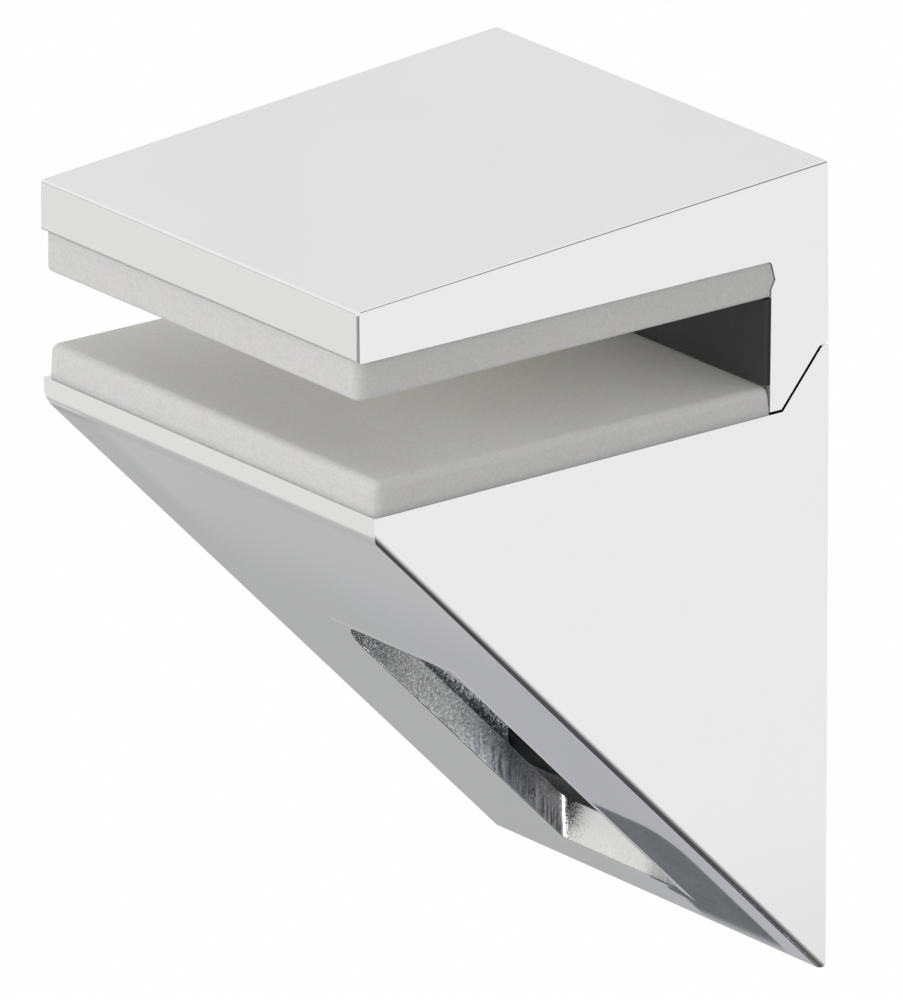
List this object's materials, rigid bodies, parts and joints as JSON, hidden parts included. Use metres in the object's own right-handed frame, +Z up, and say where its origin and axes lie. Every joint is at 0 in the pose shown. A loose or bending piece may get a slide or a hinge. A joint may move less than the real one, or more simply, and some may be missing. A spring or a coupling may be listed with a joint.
{
  "type": "glass shelf clip",
  "caption": "Wall-mounted clamp bracket that grips a glass shelf between padded jaws drawn together by a screw turned from below.",
  "frame": {"origin": "middle of the line between the two wall screws, on the wall face of the clip", "axes": "+X across the clip, +Y out of the back towards the wall, +Z up; the shelf reaches out along -Y"},
  "size_m": [0.0404, 0.0433, 0.0637],
  "materials": {
    "plated_casting": "bright plated zinc casting",
    "pad_plastic": "milky satin plastic",
    "strip_rubber": "matt",
    "zinc_plated_steel": "zinc plated"
  },
  "bodies": {
    "base": {"lower_jaw": "plated_casting", "lower_pad": "pad_plastic", "wall_plate": "zinc_plated_steel", "lock_screw": "zinc_plated_steel"},
    "jaw": {"upper_jaw": "plated_casting", "upper_pad": "pad_plastic", "back_strip": "strip_rubber"},
    "screw": {"clamp_screw": "zinc_plated_steel", "screw_washer": "zinc_plated_steel", "retaining_ring": "zinc_plated_steel"}
  },
  "joints": [
    {"name": "clamp_screw_turn", "type": "hinge", "parent": "base", "child": "screw", "pos_m": [0, -0.0098, 0], "axis": [0, 0, -1], "range_deg": [0, 2025]},
    {"name": "upper_jaw_slide", "type": "slide", "parent": "base", "child": "jaw", "axis": [0, 0, 1], "range_m": [0, 0.0045]}
  ],
  "couplings": [
    {"joint": "clamp_screw_turn", "follows": "upper_jaw_slide", "rad_per_m": 7853}
  ]
}
